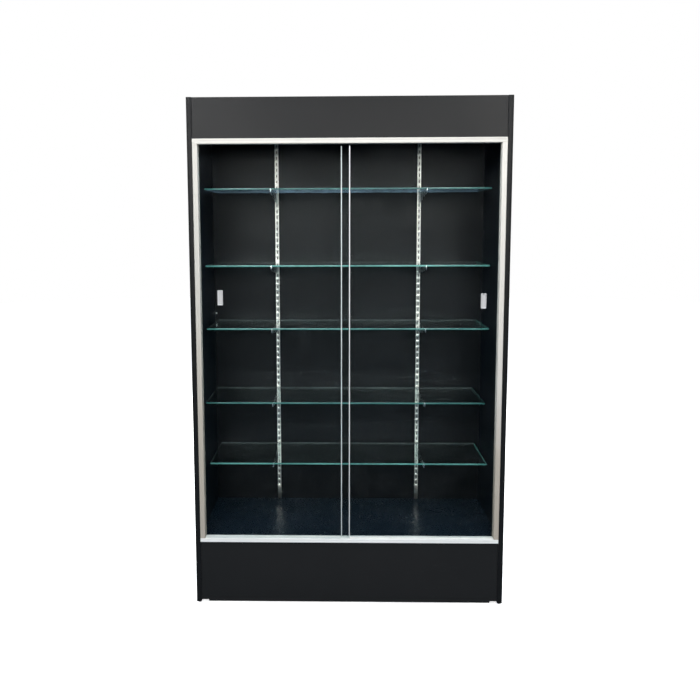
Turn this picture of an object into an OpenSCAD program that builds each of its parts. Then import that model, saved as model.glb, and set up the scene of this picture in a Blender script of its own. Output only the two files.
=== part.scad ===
// Floor-standing wall showcase in black panels, with an aluminium front frame,
// two sliding glass doors and five glass shelves on slotted standards.
// X runs along the front, +Y points to the wall behind, +Z is up.
// The origin is on the floor, in the middle of the plan. Sizes are in millimetres.

/* [Cabinet] */
// Overall width across the two side panels
case_w = 1219.2; // [1210:0.1:1300]
// Overall depth, from the edge trims to the back
case_d = 508; // [480:1:560]
// Overall height above the floor
case_h = 1981.2; // [1960:0.1:2050]
// Thickness of the black boards
board_t = 19.05; // [18:0.05:20]
// Height of the front frame's lower edge above the floor
base_h = 254; // [230:1:280]
// Height of the header board
header_h = 152.4; // [130:0.1:180]
// How far the header and the kick board sit behind the front plane
board_recess = 6; // [4:0.5:10]
// Height of the floor glides
glide_h = 6; // [5:0.5:10]

/* [Front frame] */
// Face height of the top rail
top_rail_h = 19.5; // [18:0.5:24]
// Face height of the bottom rail
bottom_rail_h = 15.5; // [14:0.5:20]
// Face width of the stiles
stile_w = 19; // [17:0.5:24]
// Depth of the frame sections from front to back
frame_d = 38.1; // [36:0.1:44]

/* [Doors] */
// Thickness of the door glass
door_t = 6; // [5:0.5:6]
// Place of the left door's free edge along X
left_door_edge = 4; // [-20:0.5:20]
// How far the right door laps behind the left door
door_lap = 35; // [20:1:60]
// Height of the left finger pull's middle
pull_z_left = 1229; // [900:1:1400]
// Height of the right finger pull's middle
pull_z_right = 1214; // [900:1:1400]

/* [Shelves] */
// Thickness of the shelf glass
shelf_t = 6.35; // [5:0.05:8]
// Length of the shelf glass
shelf_len = 1135; // [1000:1:1140]
// Depth of the shelf glass
shelf_d = 325; // [300:1:356]
// Slot that carries each shelf, counted up from the lowest, top shelf first
shelf_slots = [51, 39, 29, 17, 7];
// Sideways place of each shelf on its brackets
shelf_shift = [-4, -6, -5, -15, -2];

/* [Standards] */
// Distance between the two standards
standard_gap = 619; // [500:0.1:700]
// Pitch of the slots
slot_pitch = 25.4; // [25:0.1:32]
// Number of slots in a standard
slot_count = 61; // [58:1:62]
// Height of the lowest slot's middle above the floor
first_slot_z = 345.25; // [340:0.25:360]

/* [Hidden] */
$fn = 48;
half_w = case_w / 2;
half_d = case_d / 2;
inner_x = half_w - board_t;
front_y = -half_d;
back_y = half_d;
back_face_y = back_y - board_t;
board_front_y = front_y + board_recess;
board_back_y = board_front_y + board_t;

// Deck and front frame
deck_top = base_h + bottom_rail_h - 0.5;
deck_bottom = deck_top - board_t;
frame_gap = 0.5;
frame_half_w = inner_x - frame_gap;
frame_y = front_y + 1;
frame_back_y = frame_y + frame_d;
frame_top = case_h - header_h;
frame_bottom = base_h;
stile_z0 = frame_bottom + bottom_rail_h;
stile_z1 = frame_top - top_rail_h;
stile_in = frame_half_w - stile_w;
wall_t = 1.6;
channel_w = 9;
front_lane = 11.5;
rear_lane = 25.5;
lanes = [front_lane, rear_lane];
lower_channel = 9;
upper_channel = 17.5;
stile_channel = 8;
face_groove = 0.8;

// Edge trim: a face with a shallow crown and a barb in a saw cut
trim_t = 1.6;
trim_crown = 0.8;
trim_r = (pow(board_t / 2, 2) + pow(trim_crown, 2)) / (2 * trim_crown);
barb_t = 2;
barb_len = 8;

// Doors
door_in_stile = 5;
door_z0 = frame_bottom + 11;
door_z1 = stile_z1 + 8;
door_outer_x = stile_in + door_in_stile;
right_door_edge = left_door_edge - door_lap;
runner_h = 1.5;
runner_w = 5;
saddle_w = 8.4;
saddle_len = 60;
saddle_top = frame_bottom + bottom_rail_h - 1;
saddle_bottom = frame_bottom + bottom_rail_h - lower_channel + runner_h + 0.1;
edge_w = 4;
edge_wall = 0.8;
edge_z0 = frame_bottom + bottom_rail_h + 2;
edge_z1 = stile_z1 - 9;
pull_w = 20.5;
pull_h = 58;
pull_t = 4.6;
pull_floor = 1.4;
pull_rim = 3;
pull_x_left = -495;
pull_x_right = 516;
bumper_t = 2.5;
bumper_len = 24;

// Standards and brackets
standard_w = 16;
standard_depth = 6.35;
standard_wall = 1.8;
standard_face_y = back_face_y - standard_depth;
standard_z0 = deck_top + 0.5;
standard_len = 1625.6;
slot_w = 3.2;
slot_h = 12;
standard_screws = [2.5, 12.5, 23.5, 34.5, 45.5, 57.5];
bracket_t = 2.6;
bracket_rise = 3;
bracket_root = 45;
bracket_nose = 11;
bracket_lip = 5.5;
lip_t = 2.2;
cushion_t = 1;
shelf_back_gap = 5;
shelf_front_y = standard_face_y - shelf_back_gap - shelf_d;
bracket_len = standard_face_y - 0.1 - shelf_front_y + 0.6 + lip_t;

// Screws of the carcass: [y, z] on the side panels
kick_mid_y = (board_front_y + board_back_y) / 2;
back_mid_y = back_face_y + board_t / 2;
deck_mid_z = deck_top - board_t / 2;
top_mid_z = case_h - board_t / 2;
deck_screws = [for (y = [-150, 10, 180]) [y, deck_mid_z]];
top_screws = [for (y = [-150, 10, 180]) [y, top_mid_z]];
back_screws = [for (z = [120, 500, 900, 1300, 1700]) [back_mid_y, z]];
kick_screws = [for (z = [60, 200]) [kick_mid_y, z]];
header_screws = [for (z = [1860, 1940]) [kick_mid_y, z]];
side_screws = concat(deck_screws, top_screws, back_screws, kick_screws, header_screws);
deck_dowels = [for (y = [-70, 95]) [y, deck_mid_z]];
top_dowels = [for (y = [-70, 95]) [y, top_mid_z]];
cap_r = 6;
cap_t = 1.5;
head_r = 5;
head_t = 2.5;
shank_r = 3.5;
screw_len = 50;
dowel_r = 4;
dowel_in_side = 11;
dowel_len = 30;
stile_screw_z = [380, 820, 1260, 1700];
rail_screw_x = [-420, 0, 420];
small_r = 2;
small_len = 18;
wall_hole_x = 406.4;
wall_hole_z = 1895;
wall_hole_r = 3.25;
corner_screw_x = -584;
corner_screw_z = [1060, 1118];
glide_r = 8;
glide_y = [front_y + 14, back_y - 20];
stem_r = 1.5;
stem_len = 14;

board_black = [0.09, 0.09, 0.1];
trim_black = [0.14, 0.14, 0.15];
satin_aluminium = [0.78, 0.77, 0.75];
zinc = [0.66, 0.67, 0.68];
clear_glass = [0.62, 0.83, 0.78, 0.5];
nylon = [0.86, 0.86, 0.84];
rubber = [0.2, 0.2, 0.2];
birch = [0.8, 0.68, 0.5];

function slot_z(k) = first_slot_z + k * slot_pitch;
function bracket_top(i) = slot_z(shelf_slots[i]) + bracket_rise;
function shelf_bottom(i) = bracket_top(i) + cushion_t;

// A box between two corners
module block(x, y, z) {
    translate([x[0], y[0], z[0]]) cube([x[1] - x[0], y[1] - y[0], z[1] - z[0]]);
}

// Puts its children on a side panel's outer face, pointing inwards
module from_side(s, p, depth = 0) {
    translate([s * (half_w - depth), p[0], p[1]]) rotate([0, -s * 90, 0]) children();
}

// Bores of the carcass screws, on both sides, for a list of [y, z] places
module screw_bores(places) {
    for (s = [-1, 1], p = places) {
        from_side(s, p) cylinder(h = screw_len, r = shank_r);
    }
}

module dowel_bores(places) {
    for (s = [-1, 1], p = places) {
        from_side(s, p, board_t - dowel_in_side) cylinder(h = dowel_len, r = dowel_r);
    }
}

// ---- carcass ----
module side_panel(s) {
    x = s > 0 ? [inner_x, half_w] : [-half_w, -inner_x];
    mid_x = s * (half_w - board_t / 2);
    color(board_black) difference() {
        block(x, [front_y + trim_t, back_y], [glide_h, case_h]);
        block([mid_x - barb_t / 2, mid_x + barb_t / 2],
              [front_y + trim_t - 1, front_y + trim_t + barb_len + 1], [glide_h - 1, case_h + 1]);
        for (p = side_screws) {
            from_side(s, p, -1) cylinder(h = cap_t + head_t + 1, r = cap_r);
            from_side(s, p) cylinder(h = screw_len, r = shank_r);
        }
        dowel_bores(concat(deck_dowels, top_dowels));
        for (z = stile_screw_z) {
            translate([s * (inner_x - 1), frame_y + rear_lane, z]) rotate([0, s * 90, 0])
                cylinder(h = 13, r = small_r);
        }
        for (y = glide_y) {
            translate([mid_x, y, glide_h - 1]) cylinder(h = stem_len + 1, r = stem_r);
        }
    }
}
module side_panel_left() { side_panel(-1); }
module side_panel_right() { side_panel(1); }

module edge_trim(s) {
    mid_x = s * (half_w - board_t / 2);
    color(trim_black) translate([mid_x, 0, glide_h]) linear_extrude(height = case_h - glide_h) {
        intersection() {
            translate([0, front_y + trim_r]) circle(r = trim_r, $fn = 180);
            translate([-board_t / 2, front_y]) square([board_t, trim_t]);
        }
        translate([-barb_t / 2, front_y + trim_t - 0.5]) square([barb_t, barb_len + 0.5]);
    }
}
module edge_trim_left() { edge_trim(-1); }
module edge_trim_right() { edge_trim(1); }

module top_panel() {
    color(board_black) difference() {
        block([-inner_x, inner_x], [board_back_y, back_face_y], [case_h - board_t, case_h]);
        screw_bores(top_screws);
        dowel_bores(top_dowels);
    }
}

module header_panel() {
    color(board_black) difference() {
        block([-inner_x, inner_x], [board_front_y, board_back_y], [frame_top, case_h]);
        screw_bores(header_screws);
        for (x = rail_screw_x) {
            translate([x, frame_y + front_lane, frame_top - 1]) cylinder(h = small_len, r = small_r);
        }
    }
}

// The kick board has a small notch at both lower corners
module kick_panel() {
    notch_w = 29;
    notch_h = 6.5;
    color(board_black) difference() {
        block([-inner_x, inner_x], [board_front_y, board_back_y], [glide_h, frame_bottom]);
        for (s = [-1, 1]) {
            translate([s * inner_x - notch_w, board_front_y - 1, glide_h - 1])
                cube([2 * notch_w, board_t + 2, notch_h + 1]);
        }
        screw_bores(kick_screws);
        for (x = rail_screw_x) {
            translate([x, frame_y + front_lane, frame_bottom - small_len])
                cylinder(h = small_len + 1, r = small_r);
        }
    }
}

module deck_panel() {
    color(board_black) difference() {
        block([-inner_x, inner_x], [frame_back_y + 0.4, back_face_y], [deck_bottom, deck_top]);
        screw_bores(deck_screws);
        dowel_bores(deck_dowels);
    }
}

module back_panel() {
    color(board_black) difference() {
        block([-inner_x, inner_x], [back_face_y, back_y], [glide_h, case_h]);
        screw_bores(back_screws);
        for (s = [-1, 1]) {
            translate([s * wall_hole_x, back_y + 1, wall_hole_z]) rotate([90, 0, 0])
                cylinder(h = board_t + 2, r = wall_hole_r);
            for (k = standard_screws) {
                translate([s * standard_gap / 2, back_face_y + 12, slot_z(k)]) rotate([90, 0, 0])
                    cylinder(h = 13, r = small_r);
            }
        }
        for (z = corner_screw_z) {
            translate([corner_screw_x, back_face_y + 12, z]) rotate([90, 0, 0])
                cylinder(h = 13, r = small_r);
        }
    }
}

// Upright board under the middle of the deck
module base_stretcher() {
    color(board_black)
        block([-board_t / 2, board_t / 2], [board_back_y, back_face_y], [glide_h, deck_bottom]);
}

// Nail-on glides: a dome with a flat of 4.5 mm radius on the floor
module floor_glides() {
    dome_z = 6.646 * glide_h / 6;
    color(rubber) for (s = [-1, 1], y = glide_y) {
        translate([s * (half_w - board_t / 2), y, 0]) {
            intersection() {
                cylinder(h = glide_h, r = glide_r);
                translate([0, 0, dome_z]) sphere(r = sqrt(dome_z * dome_z + 4.5 * 4.5));
            }
            translate([0, 0, glide_h - 1]) cylinder(h = stem_len, r = stem_r);
        }
    }
}

module carcass_screws() {
    color(zinc) for (s = [-1, 1], p = side_screws) {
        from_side(s, p, cap_t) {
            cylinder(h = head_t, r = head_r);
            cylinder(h = screw_len - cap_t, r = shank_r);
        }
    }
}

module screw_caps() {
    color(trim_black) for (s = [-1, 1], p = side_screws) {
        from_side(s, p) cylinder(h = cap_t, r = cap_r);
    }
}

module dowels() {
    color(birch) for (s = [-1, 1], p = concat(deck_dowels, top_dowels)) {
        from_side(s, p, board_t - dowel_in_side) cylinder(h = dowel_len, r = dowel_r);
    }
}

// A pan-head screw that points along +Z, with its head below the origin
module pan_screw(head_h, len) {
    translate([0, 0, -head_h]) cylinder(h = head_h, r = 3.6);
    cylinder(h = len, r = small_r);
}

module corner_screws() {
    color(zinc) for (z = corner_screw_z) {
        translate([corner_screw_x, back_face_y, z]) rotate([-90, 0, 0]) pan_screw(1.8, 12);
    }
}

// ---- shelf supports ----
module standard(s) {
    color(zinc) translate([s * standard_gap / 2, 0, 0]) difference() {
        block([-standard_w / 2, standard_w / 2], [standard_face_y, back_face_y],
              [standard_z0, standard_z0 + standard_len]);
        block([-standard_w / 2 + standard_wall, standard_w / 2 - standard_wall],
              [standard_face_y + standard_wall, back_face_y + 1],
              [standard_z0 - 1, standard_z0 + standard_len + 1]);
        for (k = [0:slot_count - 1]) {
            block([-slot_w / 2, slot_w / 2], [standard_face_y - 1, standard_face_y + standard_wall + 1],
                  [slot_z(k) - slot_h / 2, slot_z(k) + slot_h / 2]);
        }
        for (k = standard_screws) {
            translate([0, standard_face_y - 1, slot_z(k)]) rotate([-90, 0, 0])
                cylinder(h = standard_wall + 2, r = small_r);
        }
    }
}
module standard_left() { standard(-1); }
module standard_right() { standard(1); }

module standard_fixings() {
    color(zinc) for (s = [-1, 1], k = standard_screws) {
        translate([s * standard_gap / 2, standard_face_y, slot_z(k)]) rotate([-90, 0, 0])
            pan_screw(1.5, standard_depth + 12);
    }
}

// Knife bracket: [distance from the standard, height] outline, with two hooks behind
module bracket(s, i) {
    hook_in = standard_wall + 0.3;
    hook_t = 2.2;
    neck = 2.5;
    reach = 9;
    // One outline with both hooks in it: from the root's foot along the slope, up, back and down
    mids = [for (n = [0, 1]) -bracket_rise - n * slot_pitch];
    color(zinc) translate([s * standard_gap / 2 + bracket_t / 2, standard_face_y - 0.1, bracket_top(i)])
        rotate([90, 0, -90]) linear_extrude(height = bracket_t) polygon(concat(
            [[0, -bracket_root], [bracket_len, -bracket_nose], [bracket_len, bracket_lip],
             [bracket_len - lip_t, bracket_lip], [bracket_len - lip_t, 0], [0, 0]],
            [for (mid = mids) each [
                [0, mid + neck], [-hook_in - hook_t, mid + neck], [-hook_in - hook_t, mid - reach],
                [-hook_in, mid - reach], [-hook_in, mid - neck], [0, mid - neck]]]));
}
module bracket_left_1() { bracket(-1, 0); }
module bracket_left_2() { bracket(-1, 1); }
module bracket_left_3() { bracket(-1, 2); }
module bracket_left_4() { bracket(-1, 3); }
module bracket_left_5() { bracket(-1, 4); }
module bracket_right_1() { bracket(1, 0); }
module bracket_right_2() { bracket(1, 1); }
module bracket_right_3() { bracket(1, 2); }
module bracket_right_4() { bracket(1, 3); }
module bracket_right_5() { bracket(1, 4); }

module shelf(i) {
    color(clear_glass)
        block([shelf_shift[i] - shelf_len / 2, shelf_shift[i] + shelf_len / 2],
              [shelf_front_y, shelf_front_y + shelf_d], [shelf_bottom(i), shelf_bottom(i) + shelf_t]);
}
module shelf_1() { shelf(0); }
module shelf_2() { shelf(1); }
module shelf_3() { shelf(2); }
module shelf_4() { shelf(3); }
module shelf_5() { shelf(4); }

// Clear saddles that keep the glass off the brackets' steel
module shelf_cushions() {
    saddle_x = 8;
    saddle_y = 12;
    skirt = 3;
    color(clear_glass) for (s = [-1, 1], i = [0:4], y = [shelf_front_y + 20, standard_face_y - 30]) {
        translate([s * standard_gap / 2, y, bracket_top(i)]) difference() {
            translate([-saddle_x / 2, 0, -skirt]) cube([saddle_x, saddle_y, skirt + cushion_t]);
            translate([-bracket_t / 2, -1, -skirt - 1]) cube([bracket_t, saddle_y + 2, skirt + 1]);
        }
    }
}

// ---- front frame ----
// Bottom rail section: [from the front, up], with two open channels on top
module bottom_section() {
    floor_z = bottom_rail_h - lower_channel;
    difference() {
        square([frame_d, bottom_rail_h]);
        for (u = lanes) {
            translate([u - channel_w / 2, floor_z]) square([channel_w, lower_channel + 1]);
        }
        translate([wall_t, wall_t]) square([frame_d - 2 * wall_t, floor_z - 2 * wall_t]);
        translate([-1, bottom_rail_h / 2]) square([1 + face_groove, 1.2]);
    }
}

// Top rail section: [from the front, up], with two deep channels underneath
module top_section() {
    rear_x = rear_lane + channel_w / 2 + wall_t;
    difference() {
        square([frame_d, top_rail_h]);
        for (u = lanes) {
            translate([u - channel_w / 2, -1]) square([channel_w, upper_channel + 1]);
        }
        translate([rear_x, wall_t]) square([frame_d - rear_x - wall_t, top_rail_h - 2 * wall_t]);
        translate([wall_t, wall_t])
            square([front_lane - channel_w / 2 - 2 * wall_t, top_rail_h - 2 * wall_t]);
        translate([-1, top_rail_h / 2]) square([1 + face_groove / 2, 1]);
    }
}

// Left stile section: [from the outer side, back], with two channels on the inner side
module stile_section() {
    difference() {
        square([stile_w, frame_d]);
        for (u = lanes) {
            translate([stile_w - stile_channel, u - channel_w / 2]) square([stile_channel + 1, channel_w]);
        }
        translate([wall_t, wall_t]) square([stile_w - stile_channel - 2 * wall_t, frame_d - 2 * wall_t]);
        translate([stile_w / 2, -1]) square([1.2, 1 + face_groove]);
    }
}

module rail(z) {
    translate([-frame_half_w, frame_y, z]) rotate([90, 0, 90])
        linear_extrude(height = 2 * frame_half_w) children();
}

module frame_top_rail() {
    color(satin_aluminium) difference() {
        rail(stile_z1) top_section();
        for (x = rail_screw_x) {
            translate([x, frame_y + front_lane, stile_z1]) cylinder(h = top_rail_h + 1, r = small_r);
        }
    }
}

module frame_bottom_rail() {
    color(satin_aluminium) difference() {
        rail(frame_bottom) bottom_section();
        for (x = rail_screw_x) {
            translate([x, frame_y + front_lane, frame_bottom - 1]) cylinder(h = bottom_rail_h, r = small_r);
            translate([x, frame_y + front_lane, frame_bottom + bottom_rail_h - lower_channel - wall_t])
                cylinder(h = wall_t, r1 = small_r, r2 = small_r + wall_t);
        }
    }
}

module frame_stile_left() {
    color(satin_aluminium) difference() {
        translate([-frame_half_w, frame_y, stile_z0])
            linear_extrude(height = stile_z1 - stile_z0) stile_section();
        for (z = stile_screw_z) {
            translate([-frame_half_w - 1, frame_y + rear_lane, z]) rotate([0, 90, 0])
                cylinder(h = stile_w, r = small_r);
        }
    }
}

module frame_stile_right() { mirror([1, 0, 0]) frame_stile_left(); }

module stile_screws() {
    head_x = frame_half_w - stile_w + stile_channel;
    color(zinc) for (s = [-1, 1], z = stile_screw_z) {
        translate([s * head_x, frame_y + rear_lane, z]) rotate([0, s * 90, 0]) pan_screw(1.8, inner_x + 12 - head_x);
    }
}

// Countersunk in the bottom rail, pan-headed in the top rail
module rail_screws() {
    floor_z = frame_bottom + bottom_rail_h - lower_channel;
    color(zinc) for (x = rail_screw_x) {
        translate([x, frame_y + front_lane, stile_z1 + upper_channel])
            pan_screw(1.6, small_len + top_rail_h - upper_channel - 1);
        translate([x, frame_y + front_lane, frame_bottom - small_len])
            cylinder(h = small_len + floor_z - frame_bottom, r = small_r);
        translate([x, frame_y + front_lane, floor_z - wall_t])
            cylinder(h = wall_t, r1 = small_r, r2 = small_r + wall_t);
    }
}

// Low-friction strips on the channel floors
module track_runners() {
    floor_z = frame_bottom + bottom_rail_h - lower_channel;
    color(nylon) for (u = lanes) {
        block([-frame_half_w, frame_half_w],
              [frame_y + u - runner_w / 2, frame_y + u + runner_w / 2], [floor_z, floor_z + runner_h]);
    }
}

// Rubber blocks that stop the doors in the stiles
module door_bumpers() {
    floor_x = frame_half_w - stile_w + stile_channel;
    color(rubber) for (s = [-1, 1], u = lanes, z = [560, 1480]) {
        x = s > 0 ? [floor_x - bumper_t, floor_x] : [-floor_x, -floor_x + bumper_t];
        block(x, [frame_y + u - 3, frame_y + u + 3], [z, z + bumper_len]);
    }
}

// ---- doors ----
module door_glass(x, lane) {
    color(clear_glass)
        block(x, [frame_y + lane - door_t / 2, frame_y + lane + door_t / 2], [door_z0, door_z1]);
}
module door_glass_left() { door_glass([-door_outer_x, left_door_edge - edge_wall], front_lane); }
module door_glass_right() { door_glass([right_door_edge + edge_wall, door_outer_x], rear_lane); }

// Slim channel over a door's free edge
module door_edge(x, s, lane) {
    color(satin_aluminium) difference() {
        block(x, [frame_y + lane - door_t / 2 - edge_wall, frame_y + lane + door_t / 2 + edge_wall],
              [edge_z0, edge_z1]);
        translate([s * edge_wall, 0, 0])
            block(x, [frame_y + lane - door_t / 2, frame_y + lane + door_t / 2], [edge_z0 - 1, edge_z1 + 1]);
    }
}
module door_edge_left() { door_edge([left_door_edge - edge_w, left_door_edge], -1, front_lane); }
module door_edge_right() { door_edge([right_door_edge, right_door_edge + edge_w], 1, rear_lane); }

// Plate with rounded corners, facing -Y from its origin
module rounded_plate(w, h, t, r) {
    rotate([90, 0, 0]) {
        translate([-w / 2 + r, -h / 2, 0]) cube([w - 2 * r, h, t]);
        translate([-w / 2, -h / 2 + r, 0]) cube([w, h - 2 * r, t]);
        for (x = [-1, 1], z = [-1, 1]) {
            translate([x * (w / 2 - r), z * (h / 2 - r), 0]) cylinder(h = t, r = r);
        }
    }
}

module finger_pull(x, z, lane) {
    color(satin_aluminium) translate([x, frame_y + lane - door_t / 2, z]) difference() {
        rounded_plate(pull_w, pull_h, pull_t, 2);
        translate([0, -pull_floor, 0])
            rounded_plate(pull_w - 2 * pull_rim, pull_h - 2 * pull_rim, pull_t, 1.5);
    }
}
module finger_pull_left() { finger_pull(pull_x_left, pull_z_left, front_lane); }
module finger_pull_right() { finger_pull(pull_x_right, pull_z_right, rear_lane); }

// Two nylon saddles under a door, set in from its ends
module door_saddles(x, lane) {
    inset = 40;
    color(nylon) for (x0 = [x[0] + inset, x[1] - inset - saddle_len]) {
        difference() {
            block([x0, x0 + saddle_len], [frame_y + lane - saddle_w / 2, frame_y + lane + saddle_w / 2],
                  [saddle_bottom, saddle_top]);
            block([x0 - 1, x0 + saddle_len + 1],
                  [frame_y + lane - door_t / 2, frame_y + lane + door_t / 2], [door_z0, saddle_top + 1]);
        }
    }
}
module door_saddles_left() { door_saddles([-door_outer_x, left_door_edge], front_lane); }
module door_saddles_right() { door_saddles([right_door_edge, door_outer_x], rear_lane); }

side_panel_left();
side_panel_right();
edge_trim_left();
edge_trim_right();
top_panel();
header_panel();
kick_panel();
deck_panel();
back_panel();
base_stretcher();
floor_glides();
carcass_screws();
screw_caps();
dowels();
corner_screws();
standard_left();
standard_right();
standard_fixings();
bracket_left_1();
bracket_left_2();
bracket_left_3();
bracket_left_4();
bracket_left_5();
bracket_right_1();
bracket_right_2();
bracket_right_3();
bracket_right_4();
bracket_right_5();
shelf_1();
shelf_2();
shelf_3();
shelf_4();
shelf_5();
shelf_cushions();
frame_top_rail();
frame_bottom_rail();
frame_stile_left();
frame_stile_right();
stile_screws();
rail_screws();
track_runners();
door_bumpers();
door_glass_left();
door_glass_right();
door_edge_left();
door_edge_right();
finger_pull_left();
finger_pull_right();
door_saddles_left();
door_saddles_right();
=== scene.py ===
import math

import bmesh
import bpy
import numpy as np
from mathutils import Matrix, Vector


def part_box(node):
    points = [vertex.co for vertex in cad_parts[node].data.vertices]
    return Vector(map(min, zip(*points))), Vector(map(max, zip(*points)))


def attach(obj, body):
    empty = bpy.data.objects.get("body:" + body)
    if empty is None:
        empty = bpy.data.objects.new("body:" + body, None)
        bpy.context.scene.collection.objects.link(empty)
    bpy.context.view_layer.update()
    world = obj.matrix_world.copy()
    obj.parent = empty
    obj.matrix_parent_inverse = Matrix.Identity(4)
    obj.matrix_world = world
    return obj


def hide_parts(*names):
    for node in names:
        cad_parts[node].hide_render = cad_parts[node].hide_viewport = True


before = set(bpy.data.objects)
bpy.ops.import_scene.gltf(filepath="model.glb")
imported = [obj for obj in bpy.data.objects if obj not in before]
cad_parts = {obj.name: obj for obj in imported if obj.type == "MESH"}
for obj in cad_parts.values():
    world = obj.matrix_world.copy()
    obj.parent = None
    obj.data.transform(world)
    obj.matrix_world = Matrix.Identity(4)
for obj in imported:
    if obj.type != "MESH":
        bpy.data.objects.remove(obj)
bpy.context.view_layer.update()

mm = 0.001
print("frame loaded:", len(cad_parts), "nodes")


# ---- shader maths ----
# One output socket. A sum or product of wires and numbers adds its Math nodes to the same tree.
class Wire:
    def __init__(self, recipe, socket):
        self.recipe = recipe
        self.socket = socket

    def maths(self, operation, *values):
        return self.recipe.node("ShaderNodeMath", {"operation": operation}, dict(enumerate(values)))

    def __add__(self, other):
        return self.maths("ADD", self, other)

    def __radd__(self, other):
        return self.maths("ADD", other, self)

    def __sub__(self, other):
        return self.maths("SUBTRACT", self, other)

    def __rsub__(self, other):
        return self.maths("SUBTRACT", other, self)

    def __mul__(self, other):
        return self.maths("MULTIPLY", self, other)

    def __rmul__(self, other):
        return self.maths("MULTIPLY", other, self)

    def __pow__(self, other):
        return self.maths("POWER", self, other)

    def __abs__(self):
        return self.maths("ABSOLUTE", self)


# The nodes of one material, or of the world
class Recipe:
    def __init__(self, tree):
        self.tree = tree
        tree.nodes.clear()

    # Any node: its type, its settings, then the numbers or wires of its sockets
    def node(self, kind, settings=None, inputs=None, output=0):
        made = self.tree.nodes.new(kind)
        for key, value in (settings or {}).items():
            if key == "stops":
                stops = made.color_ramp.elements
                stops.remove(stops[1])
                stops[0].position, stops[0].color = value[0]
                for place, colour in value[1:]:
                    stops.new(place).color = colour
            else:
                setattr(made, key, value)
        for key, value in (inputs or {}).items():
            if isinstance(value, Wire):
                self.tree.links.new(value.socket, made.inputs[key])
            else:
                made.inputs[key].default_value = value
        return Wire(self, made.outputs[output])

    def place(self, stretch=(1, 1, 1), turn=(0, 0, 0)):
        coords = self.node("ShaderNodeTexCoord", output="Object")
        if stretch == (1, 1, 1) and turn == (0, 0, 0):
            return coords
        return self.node("ShaderNodeMapping", {}, {"Vector": coords, "Scale": stretch, "Rotation": turn})

    def noise(self, place, scale, detail=2, rough=0.5):
        return self.node("ShaderNodeTexNoise", {},
                         {"Vector": place, "Scale": scale, "Detail": detail, "Roughness": rough})

    # 0 below low, 1 above high, with a soft step between
    def step(self, value, low, high):
        return self.node("ShaderNodeMapRange", {"interpolation_type": "SMOOTHSTEP"},
                         {"Value": value, "From Min": low, "From Max": high})

    def mix(self, factor, first, second):
        return self.node("ShaderNodeMix", {"data_type": "RGBA"}, {0: factor, 6: first, 7: second}, output=2)

    def bump(self, height, distance, strength):
        return self.node("ShaderNodeBump", {},
                         {"Height": height, "Distance": distance, "Strength": strength})

    def principled(self, inputs):
        return self.node("ShaderNodeBsdfPrincipled", {}, inputs)

    def surface(self, shader, target="ShaderNodeOutputMaterial"):
        out = self.tree.nodes.new(target)
        self.tree.links.new(shader.socket, out.inputs["Surface"])


def rgb(red, green, blue):
    return (red, green, blue, 1.0)


# A colour made lighter or darker by a factor
def scaled(tone, factor):
    return rgb(*(factor * c for c in tone))


def newMaterial(name):
    material = bpy.data.materials.new(name)
    material.use_nodes = True
    return material, Recipe(material.node_tree)


# ---- boards ----
boardLooksAndPaintedShade = {
    # tone: how light the black is, painted light and shade set for each board by how it is lit, the boards
    # inside the case painted darker and bluer as painted shade; gloss: roughness; scuff and dust: 0 none, 1
    # strong
    # outer: the axis and the distance along it past which the board has the plain outside tone instead of the
    # painted shade of the inside
    "header": {"tone": (0.0056, 0.0056, 0.0055), "gloss": 0.36, "mirror": 0.145, "scuff": 0.25,
               "dust": 0.2},
    "kick": {"tone": (0.0105, 0.0105, 0.0103), "gloss": 0.50, "mirror": 0.14, "scuff": 0.6, "dust": 0.8},
    "side": {"tone": (0.0052, 0.0088, 0.0125), "gloss": 0.42, "mirror": 0.20, "scuff": 0.5, "dust": 0.5,
             "outer": ("X", 0.604)},
    "back": {"tone": (0.0022, 0.0032, 0.0044), "gloss": 0.41, "mirror": 0.165, "scuff": 0.5, "dust": 0.3,
             "outer": ("Y", 0.250)},
    "deck": {"tone": (0.0078, 0.0135, 0.0200), "gloss": 0.27, "mirror": 0.20, "scuff": 1.0, "dust": 1.0},
}
boardGrain = {
    "outsideTone": (0.0150, 0.0150, 0.0150),
    "pebble": 1500, "mottle": 130, "cloud": 5,    # grains in a metre, from fine to coarse
    "specks": 46,    # cells in a metre that may hold a dust speck
    "dark": 0.78, "light": 1.22, "worn": 2.6,    # the tone's darkest and lightest parts, and its scratches
    "relief": 0.06 * mm,
}
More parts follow.
